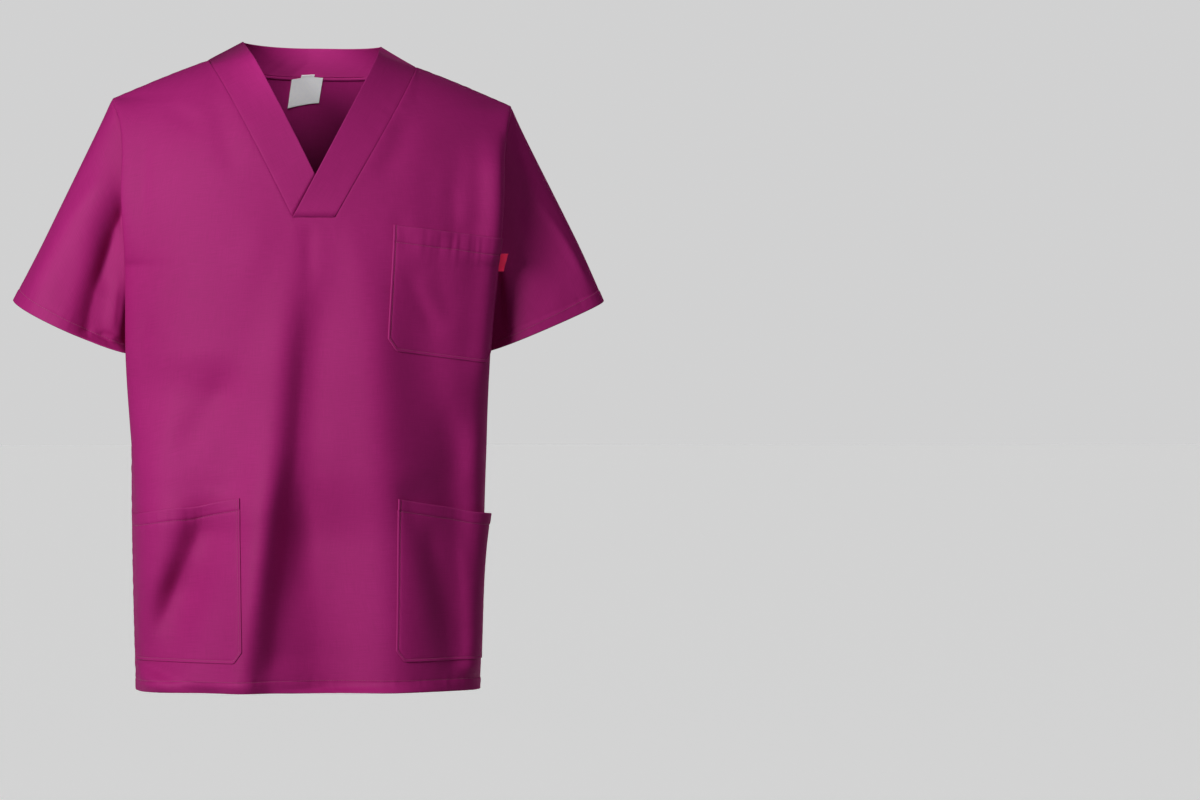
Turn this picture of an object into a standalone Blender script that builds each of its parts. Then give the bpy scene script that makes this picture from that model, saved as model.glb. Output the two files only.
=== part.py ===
"""A short-sleeved V-neck scrub top, filled out as if it were worn.

Metres, +Z up. -Y is the front, so +X is the wearer's left. The origin lies between the shoulders,
level with the foot of the neckband. Every cut piece is a thin wall of its own: its outer face comes
from the sizes below, and its inner face lies one cloth thickness inside.
"""
import bpy
import bmesh
import numpy as np

# Cloth
WALL = 0.0012            # a panel, with the seam allowances spread over it
SEAM = 0.0003            # between two pieces that are sewn together
LAID = 0.0005            # between a panel and what is sewn on top of it
LAP = 0.0016             # how far the upper neckband stands proud where it crosses the other

# Body
TIP_X = 0.229            # shoulder tip, half the shoulder width
TIP_Z = -0.045
ARMPIT_Z = -0.235
ARMHOLE_FRONT = 0.036    # how far the armhole's edge bows forward of the side seam, and back
ARMHOLE_BACK = 0.056
HEM_Z = -0.722           # at the side seams
HEM_DROP_FRONT = -0.002  # the hem's extra length at the centre
HEM_DROP_BACK = 0.012
CROWN_Z = 0.030          # height of the shoulder line if it ran on across the neck
CROWN_POWER = 1.4        # how hollow the shoulder line is
SHOULDER_ROUND = 0.150   # drop over which the shoulder rounds over into the chest
SQUARENESS = 2.5         # 2 is an ellipse, more is squarer

# Neck
NECK_X = 0.120           # foot of the neckband on the shoulder seam, where z is 0
NECK_TOP_X = 0.0790      # its upper edge there
NECK_TOP_Z = 0.0215
NAPE_SEAM_DROP = 0.016   # how far the band seam dips at the nape
NAPE_TOP_DROP = 0.0035
NAPE_LEAN = 0.86         # depth of the band's upper edge as a share of its foot's
V_POINT_X = -0.004       # the V points slightly to the wearer's right
V_POINT_Z = -0.135
V_END_Z = -0.183         # where the upper band is cut off square
V_END_RIGHT_X = -0.030   # the two corners of that end
V_END_LEFT_X = 0.0175

# Sleeves
CUFF_TIP = (0.341, -0.276)        # x and z of the cuff's outer edge
CUFF_LOW = (0.203, -0.335)        # and of its lowest point beside the body
CUFF_CENTRE_Y = 0.008
CUFF_HALF_DEPTH = 0.056
CUFF_FRONT_DROP = 0.003           # the cuff is a little longer in front
UNDERARM_BULGE = 0.006            # keeps the sleeve clear of the body
SLEEVE_RINGS = 7

# Filled-out body, a row for each level. The last column is how far the side is pressed in.
SECTION_COLUMNS = ("z", "half_width", "front_depth", "back_depth", "side_press")
SECTIONS = (
    (-0.740, 0.1965, 0.120, 0.124, 0.000),
    (-0.620, 0.2000, 0.125, 0.122, 0.000),
    (-0.500, 0.2020, 0.127, 0.119, 0.000),
    (-0.400, 0.2045, 0.126, 0.118, 0.003),
    (-0.330, 0.2070, 0.124, 0.118, 0.009),
    (-0.235, 0.2125, 0.119, 0.118, 0.0205),
    (-0.190, 0.2160, 0.116, 0.117, 0.019),
    (-0.120, 0.2200, 0.110, 0.112, 0.015),
    (-0.045, 0.2290, 0.101, 0.104, 0.000),
    (0.030, 0.2290, 0.094, 0.096, 0.000),
)

# Large folds, a row for each: where it starts and ends, its half width and its height (troughs are
# negative).
FOLD_COLUMNS = ("x_top", "z_top", "x_low", "z_low", "half_width", "height")
FRONT_FOLDS = (
    (-0.022, -0.180, -0.104, -0.900, 0.024, 0.0080),
    (-0.060, -0.470, -0.100, -0.920, 0.026, 0.0070),
    (0.006, -0.230, -0.020, -0.620, 0.022, -0.0060),
    (-0.006, -0.430, 0.012, -0.900, 0.042, -0.0080),
    (0.060, -0.170, 0.094, -0.860, 0.034, 0.0085),
    (0.164, -0.360, 0.172, -0.920, 0.036, -0.0100),
    (-0.104, -0.470, -0.166, -0.700, 0.024, -0.0060),
)
BACK_FOLDS = (
    (-0.080, -0.120, -0.082, -0.760, 0.028, 0.0080),
    (-0.130, -0.180, -0.140, -0.900, 0.026, -0.0065),
    (0.133, -0.220, 0.127, -0.600, 0.026, -0.0060),
    (0.136, -0.060, 0.158, -0.190, 0.018, -0.0050),
)
# On a sleeve: where round it (0 at the shoulder tip, 0.5 in the armpit, front first) and how far down.
SLEEVE_FOLD_COLUMNS = ("round_top", "down_top", "round_low", "down_low", "half_width", "height")
SLEEVE_FOLDS = {
    "sleeve_right": (
        (0.29, 0.20, 0.31, 1.10, 0.045, -0.0070),
        (0.14, 0.10, 0.12, 1.10, 0.050, 0.0040),
        (0.70, 0.20, 0.68, 1.00, 0.050, -0.0050),
    ),
    "sleeve_left": (
        (0.40, 0.20, 0.40, 1.10, 0.045, -0.0070),
        (0.22, 0.10, 0.20, 1.10, 0.050, 0.0030),
        (0.70, 0.20, 0.68, 1.00, 0.050, -0.0050),
    ),
}

# Pockets, a row for each: its sides in steps round the panel (0 centre front, 1 side seam), its bottom
# and mouth levels, how far the mouth gapes, where along it the gape is widest, and whether its outer
# lower corner is cut off as the inner one is.
POCKET_COLUMNS = ("inner", "outer", "bottom", "mouth", "gape", "widest", "both_corners_cut")
LOWER_INNER_RIGHT = 0.278
LOWER_INNER_LEFT = 0.304
LOWER_OUTER = 0.940
LOWER_BOTTOM = -0.686
LOWER_MOUTH = -0.498
CHEST_INNER = 0.255
CHEST_OUTER = 0.844
CHEST_BOTTOM = -0.333
CHEST_MOUTH = -0.190
POCKET_X = 0.0850                # the pockets' levels are measured here, and fall from here to the side
FALL_COLUMNS = ("level", "fall")  # fall for each metre towards the side, a row for each level
FALLS = (
    (HEM_Z, 0.00),
    (LOWER_BOTTOM, 0.00),
    (LOWER_MOUTH, 0.15),
    (CHEST_BOTTOM, 0.11),
    (CHEST_MOUTH, 0.11),
)
POCKETS = {
    "pocket_chest": (CHEST_INNER, CHEST_OUTER, CHEST_BOTTOM, CHEST_MOUTH, 0.0030, 0.50, True),
    "pocket_lower_left": (LOWER_INNER_LEFT, LOWER_OUTER, LOWER_BOTTOM, LOWER_MOUTH,
                          0.0075, 0.85, False),
    "pocket_lower_right": (-LOWER_INNER_RIGHT, -LOWER_OUTER, LOWER_BOTTOM, LOWER_MOUTH,
                           0.0060, 0.55, False),
}

LABEL_WIDTH = 0.037
LABEL_HEIGHT = 0.030
LABEL_X = 0.000
LABEL_TILT = 0.09                # radians
LABEL_LOOP = (0.016, 0.004)      # the folded loop that the label hangs from
TAB_LEVELS = (-0.243, -0.223)    # bottom and top of the tab at the chest pocket's edge
TAB_REACH = 0.008

# It does not hang quite even: the wearer's left shoulder sits lower and the skirt swings to the right.
LEFT_SHOULDER_DROP = 0.007
SKIRT_SWING = 0.0045

# Mesh stations
COLUMN_STEP = 0.062              # steps round a panel
ROW_STEP = 0.036                 # metres up a panel
UPPER_ROWS = 8                   # above the chest pocket's mouth
BAND_ROWS = 4                    # across a neckband
NECK_ROUNDS = 80                 # rounds that settle where each column meets the neck

RASPBERRY = (0.34, 0.025, 0.15, 1.0)
LABEL_WHITE = (0.80, 0.80, 0.82, 1.0)
TAB_RED = (0.50, 0.012, 0.025, 1.0)


def table(rows, columns):
    """The columns of a table by name."""
    return dict(zip(columns, np.array(rows, dtype=float).T))


def smooth(share):
    """0 below 0, 1 above 1, and an even curve between."""
    share = np.clip(share, 0.0, 1.0)
    return share * share * (3.0 - 2.0 * share)


def unit(vectors):
    return vectors / np.linalg.norm(vectors, axis=-1, keepdims=True)


def section(z):
    """Sizes of the body at level z, on smooth curves through the table's rows."""
    rows = table(SECTIONS, SECTION_COLUMNS)
    levels = rows["z"]
    z = np.clip(z, levels[0], levels[-1])
    last = np.clip(np.searchsorted(levels, z), 1, len(levels) - 1)
    step = levels[last] - levels[last - 1]
    share = (z - levels[last - 1]) / step
    sizes = {}
    for name in SECTION_COLUMNS[1:]:
        values = rows[name]
        slopes = np.gradient(values, levels)
        sizes[name] = ((2 * share ** 3 - 3 * share ** 2 + 1) * values[last - 1]
                       + (share ** 3 - 2 * share ** 2 + share) * step * slopes[last - 1]
                       + (3 * share ** 2 - 2 * share ** 3) * values[last]
                       + (share ** 3 - share ** 2) * step * slopes[last])
    return sizes


def shoulder_line(x):
    """Height of the shoulder seam, which rises from the tip towards the neck."""
    return CROWN_Z - (CROWN_Z - TIP_Z) * (np.abs(x) / TIP_X) ** CROWN_POWER


def armhole_share(z):
    """0 at the armpit and 1 at the shoulder tip."""
    return np.clip((z - ARMPIT_Z) / (TIP_Z - ARMPIT_Z), 0.0, 1.0)


def folds(rows, columns, across, along):
    """Height of all folds at a place: each is a soft line that fades out towards its ends."""
    height = np.zeros(np.broadcast(across, along).shape)
    for row in rows:
        fold = dict(zip(columns, row))
        top = (fold[columns[0]], fold[columns[1]])
        run = np.array((fold[columns[2]] - top[0], fold[columns[3]] - top[1]))
        length = np.hypot(*run)
        run = run / length
        down = (across - top[0]) * run[0] + (along - top[1]) * run[1]
        aside = (across - top[0]) * run[1] - (along - top[1]) * run[0]
        fade = smooth(down / length * 4.0) * smooth((1.0 - down / length) * 4.0)
        height = height + fold["height"] * np.exp(-(aside / fold["half_width"]) ** 2) * fade
    return height


def spread(step, z):
    """Share of the half width at a step: even on the shoulder, crowding towards the sides below it."""
    high = smooth((z + 0.13) / 0.11)
    return (1.0 - high) * np.sin(np.pi / 2 * step) + high * step


def settle(points):
    """Points as the top hangs, from where they would be if it hung even."""
    x, y, z = np.moveaxis(points, -1, 0)
    lower = LEFT_SHOULDER_DROP * smooth(x / NECK_X) * smooth((z - ARMPIT_Z) / (TIP_Z - ARMPIT_Z))
    swing = SKIRT_SWING * smooth((-0.20 - z) / 0.15)
    return np.stack((x - swing, y, z - lower), axis=-1)


def body_depth(x, z, front):
    """Distance of the cloth from the side-to-side plane at a place on the front or back."""
    sizes = section(z)
    middle = sizes["front_depth"] if front else sizes["back_depth"]
    across = np.clip(np.abs(x) / sizes["half_width"], 0.0, 1.0)
    up = armhole_share(z)
    armhole = (ARMHOLE_FRONT if front else ARMHOLE_BACK) * 2.0 * np.sqrt(up * (1.0 - up)) * across ** 6
    rounded = (1.0 - across ** SQUARENESS) ** (1.0 / SQUARENESS)
    below = np.clip((shoulder_line(x) - z) / SHOULDER_ROUND, 0.0, 1.0)
    over_shoulder = np.sqrt(1.0 - (1.0 - below) ** 2)
    return armhole + (middle - armhole) * rounded * over_shoulder


def panel_surface(step, z, front):
    """A point of the front or back: step runs from -1 to 1, side seam to side seam."""
    sizes = section(z)
    straight_x = sizes["half_width"] * spread(step, z)
    depth = body_depth(straight_x, z, front)
    press = sizes["side_press"]
    round_side = 2 / np.pi * np.arcsin(np.clip(np.abs(spread(step, z)), 0.0, 1.0))
    if front:
        pressed = smooth((round_side - 0.84) / 0.16)
    else:
        press = press + 0.012 * np.sin(np.pi * armhole_share(z))
        pressed = smooth((round_side - 0.40) / 0.60)
    rows = FRONT_FOLDS if front else BACK_FOLDS
    fade_at_sides = smooth((1.0 - np.abs(step)) * 8.0)
    depth = depth + folds(rows, FOLD_COLUMNS, straight_x, z) * fade_at_sides
    x = straight_x - np.sign(step) * press * pressed
    return np.stack(np.broadcast_arrays(x, -depth if front else depth, z), axis=-1)


def stations(breaks, step):
    """Values from the first break to the last that include every break, no further apart than step."""
    values = [breaks[0]]
    for low, high in zip(breaks[:-1], breaks[1:]):
        count = max(1, int(np.ceil((high - low) / step - 0.05)))
        values.extend(np.linspace(low, high, count + 1)[1:])
    return np.array(values)


def step_at(x, z):
    """The step round a panel at which the body reaches x on level z."""
    steps = np.linspace(-1.0, 1.0, 4001)
    return float(np.interp(x, section(z)["half_width"] * spread(steps, z), steps))


def neck_edge(step, front):
    """Height of a panel's upper edge: shoulder seams, then the V or the nape."""
    z = np.full_like(step, TIP_Z)      # the level and the width there depend on each other
    for _ in range(NECK_ROUNDS):
        x = section(z)["half_width"] * spread(step, z)
        shoulder = shoulder_line(x)
        if front:
            corner = np.where(x > 0, V_END_LEFT_X, -V_END_RIGHT_X)
            neck = np.maximum(V_END_Z * (NECK_X - np.abs(x)) / (NECK_X - corner), V_END_Z)
        else:
            share = np.clip(1.0 - (x / NECK_X) ** 2, 0.0, 1.0)
            neck = -NAPE_SEAM_DROP * share ** 0.8
        z = (z + np.where(np.abs(x) < NECK_X, neck, shoulder)) / 2
    return z


NECK_STEP = step_at(NECK_X, np.array(0.0))
V_LEFT_STEP = step_at(V_END_LEFT_X, np.array(V_END_Z))
V_RIGHT_STEP = step_at(V_END_RIGHT_X, np.array(V_END_Z))


def panel_columns():
    """Steps round a panel: the two ends of the V, the pockets' sides and the neck each have a column."""
    def half(v_end, lower_inner):
        chest = stations((v_end, CHEST_INNER, lower_inner), COLUMN_STEP)
        neck = stations((lower_inner, NECK_STEP), COLUMN_STEP / 2)
        side = stations((NECK_STEP, CHEST_OUTER, LOWER_OUTER, 1.0), COLUMN_STEP)
        return np.concatenate((chest, neck[1:], side[1:]))

    right = -half(-V_RIGHT_STEP, LOWER_INNER_RIGHT)[::-1]
    middle = stations((V_RIGHT_STEP, V_LEFT_STEP), COLUMN_STEP)[1:-1]
    return np.concatenate((right, middle, half(V_LEFT_STEP, LOWER_INNER_LEFT)))


def fall_at(level):
    """How much a row on this level falls towards the side seam."""
    rows = table(FALLS, FALL_COLUMNS)
    return np.interp(level, rows["level"], rows["fall"])


def panel_levels(step, front):
    """Level of each row in each column, the rows' levels by the pockets, and the row at the armpit."""
    drop = HEM_DROP_FRONT if front else HEM_DROP_BACK
    hem = HEM_Z - drop * np.cos(np.pi / 2 * step)
    aside = np.clip(TIP_X * np.sin(np.pi / 2 * np.abs(step)) - POCKET_X, 0.0, None)
    armpit = ARMPIT_Z + aside[-1] * fall_at(ARMPIT_Z)
    lower = stations((HEM_Z, LOWER_BOTTOM, LOWER_MOUTH, CHEST_BOTTOM, armpit, CHEST_MOUTH), ROW_STEP)
    to_hem = smooth((LOWER_BOTTOM - lower) / (LOWER_BOTTOM - HEM_Z))
    low_rows = lower[:, None] + to_hem[:, None] * (hem - HEM_Z) - fall_at(lower)[:, None] * aside
    edge = neck_edge(step, front)
    mouth = low_rows[-1]
    even = np.linspace(0.0, 1.0, UPPER_ROWS + 1)[1:, None]
    over_shoulder = smooth((edge - V_END_Z) / (TIP_Z - V_END_Z))
    high_rows = mouth + (even + (np.sin(np.pi / 2 * even) - even) * over_shoulder) * (edge - mouth)
    return np.concatenate((low_rows, high_rows)), lower, int(np.argmin(np.abs(lower - armpit)))


def grid_normals(points, outward, ring=False):
    """Unit normals of a grid of points, turned to the side that outward points to."""
    if ring:
        points = np.concatenate((points[:, -1:], points, points[:, :1]), axis=1)
    normals = unit(np.cross(np.gradient(points, axis=0), np.gradient(points, axis=1)))
    if ring:
        normals = normals[:, 1:-1]
    side = np.sign(np.sum(normals * outward, axis=-1).mean())
    return normals * side


def pull_back(points, edge, distance):
    """Draw one edge of a grid back from its seam."""
    points = points.copy()
    ends = {"first_row": (0, 1), "last_row": (-1, -2)}
    if edge in ends:
        at, inside = ends[edge]
        points[at] += unit(points[inside] - points[at]) * distance
    else:
        at, inside = {"first_column": (0, 1), "last_column": (-1, -2)}[edge]
        points[:, at] += unit(points[:, inside] - points[:, at]) * distance
    return points


def material(name, colour, roughness):
    made = bpy.data.materials.get(name) or bpy.data.materials.new(name)
    made.use_nodes = True
    shader = made.node_tree.nodes["Principled BSDF"]
    shader.inputs["Base Color"].default_value = colour
    shader.inputs["Roughness"].default_value = roughness
    shader.inputs["Metallic"].default_value = 0.0
    made.diffuse_color = colour
    return made


def wall(name, outer, inner, finish, ring=False):
    """A closed wall between two grids of points, which are joined round their edges."""
    rows, columns = outer.shape[:2]
    count = rows * columns
    vertices = settle(np.concatenate((outer.reshape(-1, 3), inner.reshape(-1, 3))))
    index = np.arange(count).reshape(rows, columns)
    if ring:
        index = np.concatenate((index, index[:, :1]), axis=1)

    def strip(one, two):
        return np.stack((one[:-1], one[1:], two[1:], two[:-1]), axis=-1).reshape(-1, 4)

    faces = []
    for row in range(rows - 1):
        faces.extend(strip(index[row], index[row + 1]))
        faces.extend(strip(index[row + 1] + count, index[row] + count))
    faces.extend(strip(index[0] + count, index[0]))
    faces.extend(strip(index[-1], index[-1] + count))
    if not ring:
        faces.extend(strip(index[:, 0], index[:, 0] + count))
        faces.extend(strip(index[:, -1] + count, index[:, -1]))

    mesh = bpy.data.meshes.new(name)
    mesh.from_pydata(vertices.tolist(), [], [tuple(int(i) for i in face) for face in faces])
    made = bmesh.new()
    made.from_mesh(mesh)
    bmesh.ops.triangulate(made, faces=made.faces[:])
    bmesh.ops.recalc_face_normals(made, faces=made.faces[:])
    made.to_mesh(mesh)
    made.free()
    mesh.shade_smooth()
    mesh.set_sharp_from_angle(angle=np.radians(50))
    mesh.materials.append(finish)
    piece = bpy.data.objects.new(name, mesh)
    bpy.context.scene.collection.objects.link(piece)
    return piece


def cuff_ring(shares, side):
    """The cuff's edge: an ellipse that starts at its outer tip and runs over the front."""
    centre = np.array(((CUFF_TIP[0] + CUFF_LOW[0]) / 2, CUFF_CENTRE_Y, (CUFF_TIP[1] + CUFF_LOW[1]) / 2))
    long_way = np.array(((CUFF_TIP[0] - CUFF_LOW[0]) / 2, 0.0, (CUFF_TIP[1] - CUFF_LOW[1]) / 2))
    deep_way = np.array((0.0, -CUFF_HALF_DEPTH, -CUFF_FRONT_DROP))
    turn = 2 * np.pi * shares[:, None]
    ring = centre + np.cos(turn) * long_way + np.sin(turn) * deep_way
    return ring * (side, 1.0, 1.0)


def ring_shares(ring):
    """Share of the way round at each point of a closed ring, in halves that meet at the armpit."""
    lengths = np.linalg.norm(np.diff(np.concatenate((ring, ring[:1])), axis=0), axis=1)
    so_far = np.concatenate(((0.0,), np.cumsum(lengths)))
    lowest = int(np.argmin(ring[:, 2]))
    front = so_far[:lowest + 1] / so_far[lowest] * 0.5
    back = 0.5 + (so_far[lowest + 1:-1] - so_far[lowest]) / (so_far[-1] - so_far[lowest]) * 0.5
    return np.concatenate((front, back))


def sleeve_surface(name, armhole, side):
    """Rings from the armhole to the cuff, straight along the arm and full under it."""
    shares = ring_shares(armhole)
    cuff = cuff_ring(shares, side)
    down = np.linspace(0.0, 1.0, SLEEVE_RINGS)[:, None, None]
    underside = (1.0 - np.cos(2 * np.pi * shares)) / 2
    points = armhole + (cuff - armhole) * down
    points[..., 0] += side * UNDERARM_BULGE * underside * np.sin(np.pi * down[..., 0])
    axis_points = points.mean(axis=1, keepdims=True)
    outward = unit(points - axis_points)
    lift = folds(SLEEVE_FOLDS[name], SLEEVE_FOLD_COLUMNS, shares[None, :], down[..., 0])
    fade = smooth(down[..., 0] * 5.0)
    return points + outward * (lift * fade)[..., None]


def strip_between(foot, edge):
    """A band between the seam it is sewn to and its free edge."""
    share = np.linspace(0.0, 1.0, BAND_ROWS)[:, None, None]
    return foot + (edge - foot) * share


def band_between(foot, side, end):
    """A band down the V: its free edge is straight seen from the front, and as deep as the chest."""
    run = np.linalg.norm(np.diff(foot, axis=0), axis=1)
    share = np.concatenate(((0.0,), np.cumsum(run) / run.sum()))
    x = side * NECK_TOP_X + (end[0] - side * NECK_TOP_X) * share
    z = NECK_TOP_Z + (end[1] - NECK_TOP_Z) * share
    stand = (NECK_TOP_Z - shoulder_line(NECK_TOP_X)) * (1.0 - smooth(share * 2.0))
    return strip_between(foot, np.stack((x, -body_depth(x, z - stand, True), z), axis=-1))


def nape_band(foot):
    """The band round the nape, which stands up and leans in."""
    share = np.clip(1.0 - (foot[:, 0] / NECK_X) ** 2, 0.0, 1.0)
    edge = np.stack((foot[:, 0] * NECK_TOP_X / NECK_X, foot[:, 1] * NAPE_LEAN,
                     NECK_TOP_Z - NAPE_TOP_DROP * share), axis=-1)
    return strip_between(foot, edge)


def share_seam(panel_row, places, band_row):
    """Give a panel and the band sewn to it the same direction at each point of their seam."""
    mean = unit(panel_row[places] + band_row)
    panel_row[places] = mean
    band_row[:] = mean


def mitred(own, other):
    """Directions for one side of a seam: the mean of both over a rounded edge, its own in a crease."""
    alike = np.sum(own * other, axis=-1, keepdims=True)
    return unit(own + other * smooth((alike + 0.2) / 0.7))


def sewn_wall(name, points, normals, finish, edges, ring=False, gap=SEAM / 2):
    """A wall whose named edges are drawn back from the seams they are sewn to."""
    for edge in edges:
        points = pull_back(points, edge, gap)
    return wall(name, points, points - normals * WALL, finish, ring)


def pocket(name, front_points, normals, columns, row_levels, finish):
    """A patch pocket: the panel's own points moved out, with the lower corners cut off."""
    inner_step, outer_step, bottom, mouth, gape, widest, both_cut = POCKETS[name]
    low_step, high_step = sorted((inner_step, outer_step))
    first = int(np.argmin(np.abs(columns - low_step)))
    last = int(np.argmin(np.abs(columns - high_step)))
    low = int(np.argmin(np.abs(row_levels - bottom)))
    high = int(np.argmin(np.abs(row_levels - mouth)))
    base = front_points[low:high + 1, first:last + 1].copy()
    out = normals[low:high + 1, first:last + 1]
    inner_is_first = inner_step < outer_step
    for corner, beside, is_inner in ((0, 1, inner_is_first), (-1, -2, not inner_is_first)):
        if is_inner or both_cut:
            base[0, corner] = (base[0, beside] + base[1, corner]) / 2
    up = np.linspace(0.0, 1.0, base.shape[0])[:, None]
    across = np.abs(columns[first:last + 1] - inner_step) / (high_step - low_step)
    belly = np.where(across < widest, across / widest, (1.0 - across) / (1.0 - widest))
    full = np.sin(np.pi / 2 * np.clip(belly, 0.0, 1.0))[None, :]
    stand = LAID + (0.0015 + gape * up ** 3) * full * np.clip(up * 6.0, 0.0, 1.0)
    back = base + out * stand[..., None]
    outer = back + out * WALL
    wall(name, outer, back, finish)
    return outer


def neck_label(back_points_at, finish):
    """A label and its loop, which hang inside the nape from the band's seam."""
    loop_half = LABEL_LOOP[0] / 2
    down = np.array((0.0, LABEL_LOOP[1], LABEL_LOOP[1] + 0.001, LABEL_LOOP[1] + LABEL_HEIGHT / 2,
                     LABEL_LOOP[1] + LABEL_HEIGHT))
    half = np.array((loop_half, loop_half, LABEL_WIDTH / 2, LABEL_WIDTH / 2, LABEL_WIDTH / 2))
    across = np.linspace(-1.0, 1.0, 4)
    x = across[None, :] * half[:, None]
    z = np.broadcast_to(-down[:, None], x.shape)
    turned_x = x * np.cos(LABEL_TILT) - z * np.sin(LABEL_TILT)
    turned_z = x * np.sin(LABEL_TILT) + z * np.cos(LABEL_TILT)
    level = -NAPE_SEAM_DROP - 2 * LAID + turned_z
    place = back_points_at(LABEL_X + turned_x, level)
    normals = grid_normals(place, (0.0, 1.0, 0.0))
    back = place - normals * (WALL + 2 * LAID)
    return wall("neck_label", back, back - normals * WALL, finish)


def pocket_tab(pocket_edge, finish):
    """A short tab that stands out from the chest pocket's outer edge."""
    order = np.argsort(pocket_edge[:, 2])
    levels = np.linspace(*TAB_LEVELS, 3)
    foot = np.stack([np.interp(levels, pocket_edge[order, 2], pocket_edge[order, axis])
                     for axis in range(3)], axis=-1)
    outward = unit(np.array((1.0, 0.25, 0.0)))
    reach = np.array((SEAM, TAB_REACH / 2, TAB_REACH))
    outer = foot[None] + outward * reach[:, None, None]
    thickness = unit(np.cross(outward, (0.0, 0.0, 1.0))) * WALL
    if thickness[1] > 0:
        thickness = -thickness
    return wall("pocket_tab", outer, outer - thickness, finish)


def build():
    for leftover in list(bpy.data.objects):
        bpy.data.objects.remove(leftover, do_unlink=True)
    cloth = material("raspberry_poplin", RASPBERRY, 0.78)
    white = material("label_white", LABEL_WHITE, 0.7)
    red = material("tab_red", TAB_RED, 0.65)

    columns = panel_columns()
    panels = {}
    for name, front in (("front_panel", True), ("back_panel", False)):
        levels, row_levels, armpit_row = panel_levels(columns, front)
        points = panel_surface(columns[None, :], levels, front)
        panels[name] = (points, grid_normals(points, (0.0, -1.0 if front else 1.0, 0.0)))
    front_points, front_normals = panels["front_panel"]
    back_points, back_normals = panels["back_panel"]

    # Where two pieces meet, their inner faces meet too: both walls use the mean direction there.
    seam_columns = (0, -1)
    shoulder = (np.abs(columns) >= NECK_STEP - 1e-6) & (np.abs(columns) < 1.0)
    sleeves = {}
    for at in seam_columns:
        mean = unit(front_normals[:, at] + back_normals[:, at])
        front_normals[:armpit_row, at] = mean[:armpit_row]
        back_normals[:armpit_row, at] = mean[:armpit_row]
        side = -1.0 if at == 0 else 1.0
        front_edge = front_points[armpit_row:, at][::-1]
        back_edge = back_points[armpit_row:, at][1:-1]
        armhole = np.concatenate((front_edge, back_edge))
        name = "sleeve_left" if side > 0 else "sleeve_right"
        surface = sleeve_surface(name, armhole, side)
        centre = surface.mean(axis=1, keepdims=True)
        normals = grid_normals(surface, surface - centre, ring=True)
        count = len(front_edge)
        on_ring_front = count - 1 - np.arange(count)
        on_ring_back = (count - 1 + np.arange(count)) % len(armhole)
        panel_side = np.zeros_like(normals[0])
        panel_side[on_ring_front] += front_normals[armpit_row:, at]
        panel_side[on_ring_back] += back_normals[armpit_row:, at]
        panel_side = unit(panel_side)
        sleeve_side = normals[0].copy()
        normals[0] = mitred(sleeve_side, panel_side)
        panel_side = mitred(panel_side, sleeve_side)
        front_normals[armpit_row:, at] = panel_side[on_ring_front]
        back_normals[armpit_row:, at] = panel_side[on_ring_back]
        sleeves[name] = (surface, normals)
    mean = unit(front_normals[-1, shoulder] + back_normals[-1, shoulder])
    front_normals[-1, shoulder] = mean
    back_normals[-1, shoulder] = mean

    # Neckbands: two down the V, the wearer's left one on top, and one round the nape.
    right_neck = np.flatnonzero((columns >= -NECK_STEP - 1e-6) & (columns <= V_RIGHT_STEP + 1e-6))
    left_neck = np.flatnonzero((columns >= V_LEFT_STEP - 1e-6) & (columns <= NECK_STEP + 1e-6))[::-1]
    nape_neck = np.flatnonzero(np.abs(columns) <= NECK_STEP + 1e-6)
    right_end = (V_POINT_X, V_POINT_Z)
    left_end = (V_END_RIGHT_X, V_END_Z)
    bands = {
        "neckband_right": band_between(front_points[-1, right_neck], -1.0, right_end),
        "neckband_left": band_between(front_points[-1, left_neck], 1.0, left_end),
        "neckband_back": nape_band(back_points[-1, nape_neck]),
    }
    band_normals = {name: grid_normals(points, (0.0, 0.0, 1.0)) for name, points in bands.items()}
    share_seam(front_normals[-1], right_neck, band_normals["neckband_right"][0])
    share_seam(front_normals[-1], left_neck, band_normals["neckband_left"][0])
    share_seam(back_normals[-1], nape_neck, band_normals["neckband_back"][0])
    for name, at in (("neckband_right", 0), ("neckband_left", -1)):
        mean = unit(band_normals[name][:, 0] + band_normals["neckband_back"][:, at])
        band_normals[name][:, 0] = mean
        band_normals["neckband_back"][:, at] = mean
        foot = nape_neck[at]
        front_normals[-1, foot] = mean[0]
        back_normals[-1, foot] = mean[0]

    for name, (points, normals) in panels.items():
        sewn_wall(name, points, normals, cloth, ("first_column", "last_column", "last_row"))
    for name, (points, normals) in sleeves.items():
        sewn_wall(name, points, normals, cloth, ("first_row",), ring=True, gap=4 * SEAM)
    rise = smooth(np.linspace(0.0, 1.0, len(left_neck)) * 1.5 - 0.5)
    bands["neckband_left"] += band_normals["neckband_left"] * (LAP * rise)[None, :, None]
    bands["neckband_right"] = pull_back(bands["neckband_right"], "last_column", 4 * SEAM)
    bands["neckband_back"] = pull_back(bands["neckband_back"], "first_row", SEAM / 2)
    for name, points in bands.items():
        edges = ("first_row", "first_column")
        if name != "neckband_right":
            edges = edges + ("last_column",)
        sewn_wall(name, points, band_normals[name], cloth, edges)

    for name in POCKETS:
        rows = pocket(name, front_points, front_normals, columns, row_levels, cloth)
        if name == "pocket_chest":
            pocket_tab(rows[:, -1], red)

    def nape_points(x, z):
        return np.stack((x, body_depth(x, z, False), z), axis=-1)

    neck_label(nape_points, white)


build()
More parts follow.
